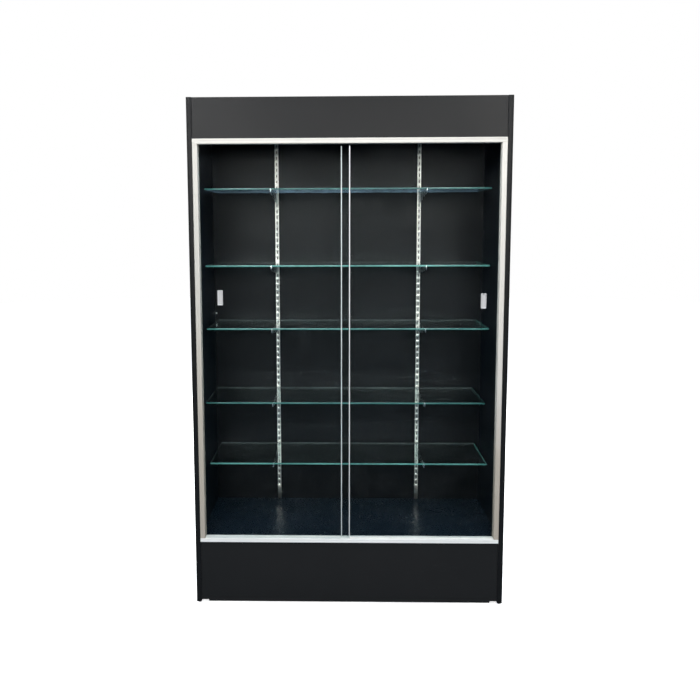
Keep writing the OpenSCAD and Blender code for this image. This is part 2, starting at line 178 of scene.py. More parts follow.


# Black melamine: a fine pebble in the bump, cloudy tone, a few hair scratches and dust specks, on a tone that
# holds its board's painted light and shade
def blackBoard(kind):
    look, grain = boardLooksAndPaintedShade[kind], boardGrain
    material, r = newMaterial("melamine_" + kind)
    place = r.place()
    pebble = r.noise(place, grain["pebble"], 2, 0.6)
    mottle = r.noise(place, grain["mottle"], 4, 0.7)
    cloud = r.noise(place, grain["cloud"], 3)
    # Scratches: thin lines where a long stretched noise crosses its middle, only inside sparse patches
    lines = r.noise(r.place((2.0, 3.0, 16.0), (0.5, 0.35, 0.2)), 3.1, 2, 0.45)
    patch = r.step(r.noise(place, 3.7, 2), 0.56, 0.66)
    scratch = (1 - r.step(abs(lines - 0.5), 0.0012, 0.004)) * patch * look["scuff"]
    # Specks: small dots in a few cells of a cell pattern
    cells = r.node("ShaderNodeTexVoronoi", {}, {"Vector": place, "Scale": grain["specks"]}, output="Distance")
    which = r.node("ShaderNodeTexVoronoi", {}, {"Vector": place, "Scale": grain["specks"]}, output="Color")
    chosen = r.step(r.node("ShaderNodeSeparateColor", {}, {"Color": which}), 0.93, 0.97)
    speck = (1 - r.step(cells, 0.02, 0.075)) * chosen * look["dust"]
    patchy = mottle * 0.5 + cloud * 0.5
    shade = r.mix(patchy, scaled(look["tone"], grain["dark"]), scaled(look["tone"], grain["light"]))
    # The inside faces keep the board's painted shade tone; past the outer line they take the plain outside
    # tone
    if "outer" in look:
        axis, start = look["outer"]
        reach = abs(r.node("ShaderNodeSeparateXYZ", {}, {"Vector": place}, output=axis))
        plain = r.mix(patchy, scaled(grain["outsideTone"], grain["dark"]),
                      scaled(grain["outsideTone"], grain["light"]))
        shade = r.mix(r.step(reach, start, start + 2 * mm), shade, plain)
    shade = r.mix(scratch * 0.6 + speck * 0.8, shade, scaled(look["tone"], grain["worn"]))
    gloss = look["gloss"] + (mottle - 0.5) * 0.16 + (cloud - 0.5) * 0.10 + speck * 0.15
    relief = r.bump(pebble + mottle * 0.6 - scratch * 0.8, grain["relief"], 0.4)
    r.surface(r.principled({"Base Color": shade, "Roughness": gloss, "Normal": relief,
                            "Specular IOR Level": look["mirror"]}))
    return material


vinylLook = {"dark": (0.0045, 0.0045, 0.005), "light": (0.009, 0.009, 0.0085), "dust": (0.04, 0.04, 0.038),
             "gloss": 0.36, "mirror": 0.11}


# Pressed-in vinyl edging: smooth, with a faint grain that runs up the edge and dust along it
def edgeVinyl():
    material, r = newMaterial("edge_vinyl")
    grain = r.noise(r.place((1, 1, 0.03)), 900, 3, 0.6)
    cloud = r.noise(r.place(), 7, 3)
    dust = r.step(r.noise(r.place((1, 1, 0.4)), 60, 3, 0.65), 0.6, 0.8)
    shade = r.mix(cloud, rgb(*vinylLook["dark"]), rgb(*vinylLook["light"]))
    shade = r.mix(dust * 0.25, shade, rgb(*vinylLook["dust"]))
    gloss = vinylLook["gloss"] + (grain - 0.5) * 0.12 + dust * 0.1
    r.surface(r.principled({"Base Color": shade, "Roughness": gloss, "Normal": r.bump(grain, 0.05 * mm, 0.5),
                            "Specular IOR Level": vinylLook["mirror"]}))
    return material


# ---- metals ----
# Satin anodised aluminium. Its drawing lines run along one axis, as the section was pressed. Where foot
# is given, the metal turns to that tone between two heights, a painted shade that darkens it towards the
# floor where less light falls.
def anodised(name, along, tone, metal=0.28, gloss=0.54, foot=None, heights=(0.5, 1.4)):
    material, r = newMaterial(name)
    stretch = tuple(0.012 if axis == along else 1.0 for axis in range(3))
    drawn = r.noise(r.place(stretch), 1400, 3, 0.65)
    broad = r.noise(r.place(stretch), 160, 2)
    cloud = r.noise(r.place(), 9, 3)
    smudge = r.step(r.noise(r.place(), 23, 4, 0.6), 0.52, 0.78)
    lines = drawn * 0.5 + broad * 0.5
    shade = r.mix(lines, scaled(tone, 0.90), scaled(tone, 1.06))
    # Painted shade: below the given heights the metal takes the darker foot tone
    if foot:
        height = r.node("ShaderNodeSeparateXYZ", {}, {"Vector": r.place()}, output="Z")
        low = r.mix(lines, scaled(foot, 0.90), scaled(foot, 1.06))
        shade = r.mix(r.step(height + (cloud - 0.5) * 0.3, *heights), low, shade)
    shade = r.mix(smudge * 0.25, shade, scaled(tone, 0.80))
    rough = gloss + (drawn - 0.5) * 0.14 + (cloud - 0.5) * 0.10 + smudge * 0.05
    r.surface(r.principled({"Base Color": shade, "Roughness": rough, "Metallic": metal,
                            "Normal": r.bump(drawn, 0.03 * mm, 0.5)}))
    return material


# Bright zinc plate: small crystal flakes of slightly different greys, with dull patches
def zincPlate(name, tone, metal, gloss):
    material, r = newMaterial(name)
    place = r.place()
    flakes = r.node("ShaderNodeTexVoronoi", {}, {"Vector": place, "Scale": 420}, output="Color")
    flake = r.node("ShaderNodeSeparateColor", {}, {"Color": flakes})
    dull = r.step(r.noise(place, 34, 4, 0.62), 0.46, 0.72)
    fine = r.noise(r.place((1, 1, 0.05)), 1200, 2)
    shade = r.mix(flake, scaled(tone, 0.90), scaled(tone, 1.05))
    shade = r.mix(dull * 0.35, shade, rgb(0.72 * tone[0], 0.72 * tone[1], 0.74 * tone[2]))
    rough = gloss + (flake - 0.5) * 0.08 + dull * 0.14 + (fine - 0.5) * 0.06
    r.surface(r.principled({"Base Color": shade, "Roughness": rough, "Metallic": metal,
                            "Normal": r.bump(fine * 0.5 + flake * 0.5, 0.02 * mm, 0.6)}))
    return material


# ---- glass ----
glassLook = {
    "shelfTint": (0.86, 0.93, 0.92),    # what one surface of a shelf lets through
    "doorTint": (0.965, 0.985, 0.985),
    "silver": (0.9, 0.95, 0.95),        # tone of what it mirrors
    "dust": (0.55, 0.58, 0.60),
    "mirror": 0.9,
    "straight": 0.04,    # share that one surface mirrors seen straight on
    "coating": 0.045,    # share that the doors' coating takes off that
    "haze": 0.008,       # how much dust on the surface catches light
}


# Clear sheet glass: lets light straight through, mirrors more of it at a slant, and has a film of dust.
# The mirrored share of one surface is f + (1 - f) (1 - cosine of the slant) ^ 5, the same from both sides.
# A coated sheet mirrors nothing seen straight on, and little at a slant.
def clearGlass(name, tint, coated=0.0):
    material, r = newMaterial(name)
    place = r.place()
    film = r.step(r.noise(place, 6.5, 4, 0.6), 0.40, 0.80)
    wipes = r.noise(r.place((1.0, 1.0, 5.0), (0.3, 0.5, 0.4)), 9, 3, 0.6)
    slant = r.node("ShaderNodeLayerWeight", {}, {"Blend": 0.5}, output="Facing")
    share = glassLook["straight"] + (1 - glassLook["straight"]) * slant ** 5
    share = r.node("ShaderNodeClamp", {}, {"Value": (share - coated) * glassLook["mirror"]})
    through = r.node("ShaderNodeBsdfTransparent", {}, {"Color": rgb(*tint)})
    face = r.principled({"Base Color": rgb(*glassLook["silver"]), "Metallic": 1.0,
                         "Roughness": 0.03 + film * 0.05 + wipes * 0.02})
    dust = r.node("ShaderNodeBsdfDiffuse", {}, {"Color": rgb(*glassLook["dust"])})
    clean = r.node("ShaderNodeMixShader", {}, {0: share, 1: through, 2: face})
    r.surface(r.node("ShaderNodeMixShader", {}, {0: film * wipes * glassLook["haze"], 1: clean, 2: dust}))
    return material


edgeLooks = {
    # Edges of the glass. tone and deep: the edge's painted light and painted shade, in its lit and its dim
    # runs;
    # glow: a painted glow, an emission for the light that the sheet pipes to it; strength: how much of that
    # glow; fade: how far from the middle it reaches
    "front": {"tone": (0.055, 0.17, 0.15), "deep": (0.02, 0.10, 0.09), "paintedGlow": (0.14, 0.42, 0.37)},
    "back": {"tone": (0.06, 0.07, 0.07), "deep": (0.021, 0.0245, 0.0245), "paintedGlow": (0.6, 0.6, 0.6),
             "strength": 0.05},
    "side": {"tone": (0.02, 0.06, 0.055), "deep": (0.007, 0.021, 0.01925), "paintedGlow": (0.3, 0.5, 0.48),
             "strength": 0.03},
    # painted streak: a glow for the bright light along the top shelf's back edge
    "streak": {"tone": (0.2, 0.3, 0.4), "deep": (0.07, 0.105, 0.14), "paintedGlow": (0.30, 0.45, 0.62),
               "strength": 1.7, "fade": 0.50},
}
frontPaintedGlow = (0.12, 0.50, 0.34, 0.05, 0.42)    # painted glow's strength at each shelf's front edge, top shelf first


# Polished edge: deep green glass with a painted glow, an emission for light that comes out of the sheet, and
# painted light and shade in uneven runs along it
def glassEdgeWithPaintedGlow(name, look, strength):
    material, r = newMaterial(name)
    runs = r.noise(r.place(), 4.2, 4, 0.62)
    ripple = r.noise(r.place((1.0, 0.2, 4.0)), 46, 3, 0.6)
    paintedLitRuns = r.step(runs * 0.7 + ripple * 0.3, 0.36, 0.68)
    if "fade" in look:
        # The painted glow fades towards both ends of the shelf
        across = r.node("ShaderNodeSeparateXYZ", {}, {"Vector": r.place()})
        paintedLitRuns = paintedLitRuns * (1 - r.step(abs(across), 0.35 * look["fade"], look["fade"]))
    # Painted light and painted shade in runs along the edge, and the painted glow of its emission
    shade = r.mix(paintedLitRuns, rgb(*look["deep"]), rgb(*look["tone"]))
    paintedShine = r.mix(paintedLitRuns, scaled(look["paintedGlow"], 0.25), rgb(*look["paintedGlow"]))
    r.surface(r.principled({"Base Color": shade, "Roughness": 0.14 + ripple * 0.12,
                            "Emission Color": paintedShine, "Emission Strength": strength}))
    return material


# ---- small parts ----
# Moulded plastic or rubber: a fine grain in the bump and a slightly cloudy tone
def plastic(name, tone, gloss, relief=0.04, grain=900):
    material, r = newMaterial(name)
    fine = r.noise(r.place(), grain, 3, 0.6)
    cloud = r.noise(r.place(), 60, 2)
    shade = r.mix(cloud, scaled(tone, 0.88), scaled(tone, 1.08))
    r.surface(r.principled({"Base Color": shade, "Roughness": gloss + (fine - 0.5) * 0.16,
                            "Normal": r.bump(fine, relief * mm, 0.6)}))
    return material


# Half-clear vinyl of the saddles between brackets and shelves
def softVinyl():
    material, r = newMaterial("clear_saddle")
    cloud = r.noise(r.place(), 120, 3)
    through = r.node("ShaderNodeBsdfTransparent", {}, {"Color": rgb(0.9, 0.94, 0.94)})
    body = r.principled({"Base Color": rgb(0.62, 0.70, 0.70), "Roughness": 0.25 + cloud * 0.12})
    r.surface(r.node("ShaderNodeMixShader", {}, {0: 0.3 + cloud * 0.15, 1: through, 2: body}))
    return material


# Birch dowel: rings stretched along the dowel, which lies along X
def birchWood():
    material, r = newMaterial("birch_dowel")
    ringNoise = r.noise(r.place((0.15, 1, 1)), 500, 4, 0.6)
    shade = r.mix(ringNoise, rgb(0.50, 0.35, 0.19), rgb(0.68, 0.52, 0.32))
    r.surface(r.principled({"Base Color": shade, "Roughness": 0.55 + ringNoise * 0.2,
                            "Normal": r.bump(ringNoise, 0.05 * mm, 0.5)}))
    return material


aluTonesAndPaintedLight = {
    "rail": (0.495, 0.46, 0.405),
    "rightStileLit": (0.575, 0.535, 0.475),    # painted light: a little brighter than the left one, for the stronger light on it
    # painted shade for the stiles' lower ends, where less light falls
    "foot": (0.44, 0.38, 0.305),
    "sill": (0.80, 0.78, 0.73),             # painted highlight: the bottom rail is painted bright for the sheen on its top
    "trim": (0.56, 0.55, 0.53),
    "pull": (0.44, 0.425, 0.41),
}
melamine = {kind: blackBoard(kind) for kind in boardLooksAndPaintedShade}
vinylEdge = edgeVinyl()
railMetal = anodised("anodised_rail", 0, aluTonesAndPaintedLight["rail"])
stileMetal = {
    "left": anodised("anodised_stile_left_painted_shade", 2, aluTonesAndPaintedLight["rail"], foot=aluTonesAndPaintedLight["foot"]),
    "right": anodised("anodised_stile_right_painted_light_shade", 2, aluTonesAndPaintedLight["rightStileLit"], foot=aluTonesAndPaintedLight["foot"], heights=(0.45, 0.95)),
}
# Painted highlight: the sill's bright tone stands in for the sheen its top catches
sillMetal = anodised("anodised_sill_painted_highlight", 0, aluTonesAndPaintedLight["sill"], 0.12, 0.46)
trimMetal = anodised("door_trim_metal", 2, aluTonesAndPaintedLight["trim"], 0.30, 0.5)
pullMetal = anodised("pull_metal", 2, aluTonesAndPaintedLight["pull"], 0.30, 0.5)
standardZinc = zincPlate("zinc_standard", (0.78, 0.745, 0.69), 0.95, 0.31)
bracketSteel = zincPlate("zinc_bracket", (0.66, 0.70, 0.70), 1.0, 0.24)
screwZinc = zincPlate("zinc_screw", (0.72, 0.72, 0.70), 0.85, 0.3)
shelfGlass = clearGlass("shelf_glass_clear", glassLook["shelfTint"])
doorGlass = clearGlass("door_glass_clear", glassLook["doorTint"], glassLook["coating"])
frontEdges = [glassEdgeWithPaintedGlow(f"glass_edge_front_{n}", edgeLooks["front"], paintedGlow)
              for n, paintedGlow in enumerate(frontPaintedGlow, 1)]
otherEdges = {kind: glassEdgeWithPaintedGlow("glass_edge_" + kind, edgeLooks[kind], edgeLooks[kind]["strength"])
              for kind in ("back", "side", "streak")}
nylonWhite = plastic("nylon_white", (0.72, 0.72, 0.69), 0.42)
rubberGrey = plastic("rubber_grey", (0.035, 0.035, 0.034), 0.7, 0.08, 600)
capPlastic = plastic("cap_plastic", (0.020, 0.020, 0.021), 0.38)
saddleVinyl = softVinyl()
dowelWood = birchWood()
print("materials made:", len(bpy.data.materials))


# ---- mesh tools ----
# Rounds the corners of a closed outline. A corner becomes an arc of its own radius between the two
# points at r / tan(half its angle) along its sides: centre + (sin((1-t)a) A + sin(t a) B) / sin(a),
# where A and B point from the arc's centre to those points and a is the angle between them.
def roundCorners(outline, radius, steps=4):
    corner = np.asarray(outline, float)
    radius = np.broadcast_to(np.asarray(radius, float), len(corner))
    back = np.roll(corner, 1, 0) - corner
    on = np.roll(corner, -1, 0) - corner
    back /= np.linalg.norm(back, axis=1, keepdims=True)
    on /= np.linalg.norm(on, axis=1, keepdims=True)
    half = np.arccos(np.clip((back * on).sum(1), -0.999999, 0.999999)) / 2
    reach = np.where(radius > 0, radius, 1e-9) / np.tan(half)
    middle = back + on
    middle /= np.linalg.norm(middle, axis=1, keepdims=True)
    centre = corner + middle * (np.where(radius > 0, radius, 1e-9) / np.sin(half))[:, None]
    first = corner + back * reach[:, None] - centre
    last = corner + on * reach[:, None] - centre
    angle = (math.pi - 2 * half)[:, None, None]
    t = np.linspace(0, 1, steps + 1)[None, :, None]
    arc = (np.sin((1 - t) * angle) * first[:, None] + np.sin(t * angle) * last[:, None]) / np.sin(angle)
    points = (centre[:, None] + arc).reshape(-1, 2)
    gap = np.linalg.norm(points - np.roll(points, 1, 0), axis=1)
    return points[gap > 1e-7]


# Faces of rings joined one to the next, each ring closed, with a cap over the first and the last
def loftFaces(count, around, caps=(True, True)):
    ring = np.arange(count - 1)[:, None] * around
    step = np.arange(around)[None, :]
    ahead = (step + 1) % around
    quads = np.stack([ring + step, ring + ahead, ring + around + ahead, ring + around + step], -1)
    faces = quads.reshape(-1, 4).tolist()
    if caps[0]:
        faces.append(list(range(around))[::-1])
    if caps[1]:
        faces.append(list(range((count - 1) * around, count * around)))
    return faces


# An outline carried straight along X or Z: point = (s, u, v) or (u, v, s), for s at each station
def carried(outline, axis, stations):
    flat = np.asarray(outline)
    along = np.broadcast_to(np.asarray(stations, float)[:, None], (len(stations), len(flat)))
    u = np.broadcast_to(flat[None, :, 0], along.shape)
    v = np.broadcast_to(flat[None, :, 1], along.shape)
    order = (along, u, v) if axis == "x" else (u, v, along)
    return np.stack(order, -1).reshape(-1, 3), loftFaces(len(stations), len(flat))


# A rounded rectangle: four arcs of the given radius about points set in from its corners
def roundedRectangle(width, height, radius, steps=5):
    turn = (np.arange(4)[:, None] * 90 + np.linspace(0, 90, steps + 1)[None, :]) * math.pi / 180
    signs = np.array([[1, 1], [-1, 1], [-1, -1], [1, -1]])
    centre = signs * np.array([width / 2 - radius, height / 2 - radius])
    arc = radius * np.stack([np.cos(turn), np.sin(turn)], -1)
    return (centre[:, None] + arc).reshape(-1, 2)


# A profile of (radius, height) turned about Z: point = (r cos a, r sin a, h)
def turned(profile, around=32):
    radius, height = np.asarray(profile, float).T
    angle = np.linspace(0, 2 * math.pi, around, endpoint=False)
    grid = np.stack([radius[:, None] * np.cos(angle), radius[:, None] * np.sin(angle),
                     np.repeat(height[:, None], around, 1)], -1)
    return grid.reshape(-1, 3), loftFaces(len(radius), around)


# The same shape set down at several places, each with its own 3 by 3 turn
def repeated(points, faces, places, turns):
    moved = np.einsum("kij,nj->kni", np.asarray(turns), points) + np.asarray(places)[:, None]
    count = len(points)
    allFaces = [[i + k * count for i in face] for k in range(len(places)) for face in faces]
    return moved.reshape(-1, 3), allFaces


def joined(*parts):
    start, points, faces = 0, [], []
    for partPoints, partFaces in parts:
        points.append(partPoints)
        faces += [[i + start for i in face] for face in partFaces]
        start += len(partPoints)
    return np.concatenate(points), faces


# Puts a finished shape into the scene as a piece: points in metres, one material index for each face.
# bevel is the width of soft edges, smooth the angle under which a face joins its neighbour smoothly,
# solid the thickness of wall given to an open skin, and stands the CAD nodes that the piece replaces.
def addPiece(name, shape, materials, body="cabinet", stands=(), indices=None, bevel=0.0, smooth=32,
             solid=0.0, weld=False):
    points, faces = shape
    mesh = bpy.data.meshes.new(name)
    mesh.from_pydata(points.tolist(), [], faces)
    for material in materials:
        mesh.materials.append(material)
    if indices is not None:
        mesh.polygons.foreach_set("material_index", indices)
    work = bmesh.new()
    work.from_mesh(mesh)
    if weld:
        bmesh.ops.remove_doubles(work, verts=work.verts, dist=1e-6)
    if not solid:
        bmesh.ops.recalc_face_normals(work, faces=work.faces)
    work.to_mesh(mesh)
    work.free()
    mesh.set_sharp_from_angle(angle=math.radians(smooth))
    mesh.polygons.foreach_set("use_smooth", [len(face.vertices) == 4 for face in mesh.polygons])
    piece = bpy.data.objects.new(name, mesh)
    bpy.context.scene.collection.objects.link(piece)
    if solid:
        thick = piece.modifiers.new("wall", "SOLIDIFY")
        thick.thickness = solid
        thick.offset = -1
        thick.use_even_offset = True
    if bevel:
        soft = piece.modifiers.new("soft_edges", "BEVEL")
        soft.width = bevel
        soft.segments = 2
        soft.limit_method = "ANGLE"
        soft.angle_limit = math.radians(50)
        soft.harden_normals = True
    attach(piece, body)
    if stands:
        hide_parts(*stands)
    return piece


# Gives a CAD node its material
def dress(name, material):
    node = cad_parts[name]
    if node.material_slots:
        for holder in node.material_slots:
            holder.material = material
    else:
        node.data.materials.append(material)


# ---- carcass ----
dress("side_panel_left", melamine["side"])
dress("side_panel_right", melamine["side"])
dress("top_panel", melamine["side"])
dress("header_panel", melamine["header"])
dress("kick_panel", melamine["kick"])
dress("deck_panel", melamine["deck"])
dress("back_panel", melamine["back"])
dress("base_stretcher", melamine["side"])
dress("carcass_screws", screwZinc)
dress("dowels", dowelWood)

edging = {
    "crown": 0.8,         # height of the middle over the sides
    "line": 0.30,         # depth of the two pressed lines
    "linePlace": 0.80,    # where the lines are and how wide, as shares of the half width
    "lineWidth": 0.07,
    "lip": 1.6,           # from the crown to the board
    "barb": 2.0,          # thickness of the barb in the board
    "soft": 0.25,
}


# Edging section: a shallow crown, 1 - u squared, less a bell-shaped line near each side,
# closed by the flat back and the barb behind it
def edgingOutline(low, high):
    half = (high.x - low.x) / 2
    middle = (high.x + low.x) / 2
    u = np.linspace(-1, 1, 41)
    line = np.exp(-((abs(u) - edging["linePlace"]) / edging["lineWidth"]) ** 2)
    lift = np.clip(edging["crown"] * (1 - u ** 2) - edging["line"] * line, 0, None)
    face = np.stack([middle + u * half, low.y + (edging["crown"] - lift) * mm], 1)
    back = low.y + edging["lip"] * mm
    barb = edging["barb"] * mm / 2
    rear = np.array([[middle + half, back], [middle + barb, back], [middle + barb, high.y],
                     [middle - barb, high.y], [middle - barb, back], [middle - half, back]])
    return np.concatenate([face, rear])


for side in ("left", "right"):
    low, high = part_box("edge_trim_" + side)
    shape = carried(edgingOutline(low, high), "z", [low.z, high.z])
    addPiece("edging_" + side, shape, [vinylEdge], stands=["edge_trim_" + side],
             bevel=edging["soft"] * mm, smooth=40)

cap = {
    "radius": 6.0, "rim": 0.35, "thick": 1.5,
    "dish": 0.30, "dishShare": 0.82,    # depth of the dish, and its radius as a share of the cap's
    # Places from front to back along the deck and the top panel, and heights on the upright boards
    "across": (-0.150, 0.010, 0.180),
    "up": {"back_panel": (0.12, 0.5, 0.9, 1.3, 1.7), "kick_panel": (0.06, 0.2), "header_panel": (1.86, 1.94)},
}


# Screw cap: turned profile with a round rim and a shallow dish, its depth d (1 - (r/R) squared)
def capShape(centres, sides):
    radius, bowl = cap["radius"], cap["dishShare"] * cap["radius"]
    profile = [(r, -cap["dish"] * (1 - (r / bowl) ** 2)) for r in np.linspace(0.05 * radius, bowl, 6)]
    profile += [(radius - cap["rim"], 0.0), (radius - 0.1, -0.12), (radius, -0.4), (radius, -cap["thick"])]
    points, faces = turned(np.array(profile) * mm, 28)
    turns = [[[0, 0, s], [0, 1, 0], [-s, 0, 0]] for s in sides]
    return repeated(points, faces, centres, turns)


# Each cap sits at the middle of the board that its screw holds
def boardMiddle(name):
    return sum(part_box(name), Vector()) / 2


capPlaces = [(y, boardMiddle(name).z) for name in ("deck_panel", "top_panel") for y in cap["across"]]
capPlaces += [(boardMiddle(name).y, z) for name, heights in cap["up"].items() for z in heights]
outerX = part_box("screw_caps")[1].x
centres = [(s * outerX, y, z) for s in (-1, 1) for y, z in capPlaces]
addPiece("cap_set", capShape(centres, [math.copysign(1, c[0]) for c in centres]), [capPlastic],
         stands=["screw_caps"], smooth=50)

glide = {
    "radius": 8.0, "flat": 4.5, "height": 6.0, "stem": 1.5, "stemTop": 19.0,
    "domeTop": 4.2,         # where the dome's rings end and the straight side begins
    "domeMiddle": 6.646,    # height of the middle of the ball that the dome is part of
    "edge": 0.4,
}


# Nail-on glide: turned dome, its radius at height h the root of R squared less the square of the drop
# from the ball's middle, then the shoulder and the nail
def glideShape(centres):
    g = glide
    ballRadius = math.hypot(g["domeMiddle"], g["flat"])
    height = np.linspace(0, 1, 9) ** 1.5 * g["domeTop"]
    radius = np.minimum(np.sqrt(ballRadius ** 2 - (g["domeMiddle"] - height) ** 2), g["radius"])
    dome = np.stack([radius, height], 1)
    shoulder = np.array([(g["radius"], g["height"] - g["edge"]), (g["radius"] - g["edge"], g["height"]),
                         (g["stem"], g["height"]), (g["stem"], g["stemTop"])])
    points, faces = turned(np.concatenate([dome, shoulder]) * mm, 40)
    return repeated(points, faces, centres, [np.eye(3)] * len(centres))


low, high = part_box("floor_glides")
inset = glide["radius"] * mm
addPiece("glide_set", glideShape([(x, y, 0.0) for x in (low.x + inset, high.x - inset)
                                  for y in (low.y + inset, high.y - inset)]),
         [rubberGrey], stands=["floor_glides"], smooth=40)

screw = {
    "headRadius": 3.6, "shank": 2.0, "droop": 0.55,
    "arm": 1.9, "armWidth": 0.42, "recess": 0.9,    # the cross: an arm's length, its half width, its depth
    # Radii of the head's rings
    "rings": (0.05, 0.25, 0.42, 0.6, 0.9, 1.3, 1.7, 1.9, 2.2, 2.7, 3.2, 3.5, 3.6),
    "corner": (1.8, 12.0), "standard": (1.5, 18.35),    # height of the head and length under it
}


# Pan-head screw, axis +Z into the wood, head below 0. Head height = h (1 - droop (r/R)^4), less the
# cross: full depth where the smaller of |x| and |y| is under the arm's half width and the larger
# under its length. The shank runs to a point.
def screwShape(headHeight, length, places, turns):
    radius = screw["headRadius"]
    r = np.array(screw["rings"])
    angle = np.linspace(0, 2 * math.pi, 32, endpoint=False)
    x, y = r[:, None] * np.cos(angle), r[:, None] * np.sin(angle)
    across, along = np.minimum(abs(x), abs(y)), np.maximum(abs(x), abs(y))
    inCross = (across <= screw["armWidth"]) & (along < screw["arm"])
    depth = screw["recess"] * inCross * np.clip(1.25 - along / screw["arm"] * 0.6, 0, 1)
    dome = headHeight * (1 - screw["droop"] * (r[:, None] / radius) ** 4)
    head = np.stack([x, y, np.minimum(depth, headHeight * 0.6) - dome], -1)
    lower = np.array([(radius, 0.0), (screw["shank"], 0.0), (screw["shank"], length * 0.85), (0.3, length)])
    tail = np.stack([lower[:, 0, None] * np.cos(angle), lower[:, 0, None] * np.sin(angle),
                     np.repeat(lower[:, 1, None], len(angle), 1)], -1)
    rings = np.concatenate([head, tail])
    points = rings.reshape(-1, 3) * mm
    return repeated(points, loftFaces(len(rings), len(angle)), places, turns)


intoBack = [[1, 0, 0], [0, 0, 1], [0, -1, 0]]      # the screw's +Z turned to the cabinet's +Y
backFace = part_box("back_panel")[0].y
low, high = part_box("corner_screws")
cornerX = (low.x + high.x) / 2
cornerZ = (low.z + screw["headRadius"] * mm, high.z - screw["headRadius"] * mm)
corners = [(cornerX, backFace, z) for z in cornerZ]
addPiece("corner_screw_pair", screwShape(*screw["corner"], corners, [intoBack] * len(corners)), [screwZinc],
         stands=["corner_screws"], smooth=35)
print("carcass dressed")


# ---- standards ----
standard = {
    "pitch": 25.4, "slotWidth": 3.2, "slotHeight": 12.0, "slotCorner": 1.0,
    "firstSlot": 345.25, "slots": 61, "wall": 1.8, "corner": 1.6,
    "screws": (2.5, 12.5, 23.5, 34.5, 45.5, 57.5),    # between slots, counted from the first one
}


# One pitch of the channel's outer skin, opened flat. The face is a ring of quads between the slot's
# outline and the pitch's border; the border has four spans a side, so that pitches meet point to
# point. Each flange is a strip: the face's edge, a quarter circle (r sin a, r - r cos a), the side.
def pitchTile(halfWidth, depth):
    corner = standard["corner"] * mm
    flat = halfWidth - corner
    halfPitch = standard["pitch"] * mm / 2
    unit = np.array([-1, -0.5, 0, 0.5])
    border = np.concatenate([
        np.stack([unit, -np.ones(4)], 1), np.stack([np.ones(4), unit], 1),
        np.stack([-unit, np.ones(4)], 1), np.stack([-np.ones(4), -unit], 1)])
    slotW, slotH = standard["slotWidth"] * mm / 2, standard["slotHeight"] * mm / 2
    radius = standard["slotCorner"] * mm
    # The slot's outline: the border pulled in to the slot's box, its corners pulled to a circle
    inner = border * [slotW, slotH]
    core = np.clip(inner, [-slotW + radius, -slotH + radius], [slotW - radius, slotH - radius])
    off = inner - core
    size = np.maximum(np.linalg.norm(off, axis=1, keepdims=True), 1e-9)
    inner = core + off / size * np.minimum(size, radius)
    outer = border * [flat, halfPitch]
    face = np.concatenate([outer, inner])
    points = [np.stack([face[:, 0], np.zeros(len(face)), face[:, 1]], 1)]
    step = np.arange(16)
    faces = np.stack([step, (step + 1) % 16, 16 + (step + 1) % 16, 16 + step], 1).tolist()
    rows = np.array([-1, -0.5, 0, 0.5, 1]) * halfPitch
    angle = np.linspace(0, math.pi / 2, 5)
    sideways = np.concatenate([flat + corner * np.sin(angle), [halfWidth]])
    inwards = np.concatenate([corner - corner * np.cos(angle), [depth]])
    for s in (-1, 1):
        start = sum(len(p) for p in points)
        strip = np.stack([np.repeat(s * sideways[:, None], 5, 1), np.repeat(inwards[:, None], 5, 1),
                          np.repeat(rows[None], len(sideways), 0)], -1)
        points.append(strip.reshape(-1, 3))
        i, j = np.meshgrid(np.arange(len(sideways) - 1), np.arange(4), indexing="ij")
        a = start + i * 5 + j
        quad = [a, a + 5, a + 6, a + 1] if s > 0 else [a, a + 1, a + 6, a + 5]
        faces += np.stack(quad, -1).reshape(-1, 4).tolist()
    return np.concatenate(points), faces


# A plain length of the same channel, from one height to another: section carried along Z
def plainChannel(halfWidth, depth, low, high):
    corner = standard["corner"] * mm
    flat = halfWidth - corner
    angle = np.linspace(0, math.pi / 2, 5)
    right = np.stack([np.concatenate([flat + corner * np.sin(angle), [halfWidth]]),
                      np.concatenate([corner - corner * np.cos(angle), [depth]])], 1)
    middle = np.stack([np.array([-1, -0.5, 0, 0.5, 1]) * flat, np.zeros(5)], 1)
    section = np.concatenate([(right * [-1, 1])[::-1], middle[1:-1], right])
    count = len(section)
    points = np.concatenate([np.insert(section, 2, z, axis=1) for z in (low, high)])
    i = np.arange(count - 1)
    return points, np.stack([i, i + 1, count + i + 1, count + i], 1).tolist()


for side in ("left", "right"):
    low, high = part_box("standard_" + side)
    halfWidth, depth = (high.x - low.x) / 2, high.y - low.y
    pitch, first = standard["pitch"] * mm, standard["firstSlot"] * mm
    slotted = first - pitch / 2, first - pitch / 2 + standard["slots"] * pitch
    tile = pitchTile(halfWidth, depth)
    rack = repeated(*tile, [(0, 0, first + k * pitch) for k in range(standard["slots"])],
                    [np.eye(3)] * standard["slots"])
    foot = plainChannel(halfWidth, depth, low.z, slotted[0])
    head = plainChannel(halfWidth, depth, slotted[1], high.z)
    points, faces = joined(rack, foot, head)
    points = points + [(low.x + high.x) / 2, low.y, 0]
    addPiece("wall_standard_" + side, (points, faces), [standardZinc], stands=["standard_" + side],
             smooth=40, solid=standard["wall"] * mm, weld=True)

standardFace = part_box("standard_left")[0].y
standardX = [sum(c.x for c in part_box("standard_" + side)) / 2 for side in ("left", "right")]
fixings = [(x, standardFace, (standard["firstSlot"] + k * standard["pitch"]) * mm)
           for x in standardX for k in standard["screws"]]
addPiece("standard_screw_set", screwShape(*screw["standard"], fixings, [intoBack] * len(fixings)),
         [screwZinc], stands=["standard_fixings"], smooth=35)
print("standards made")

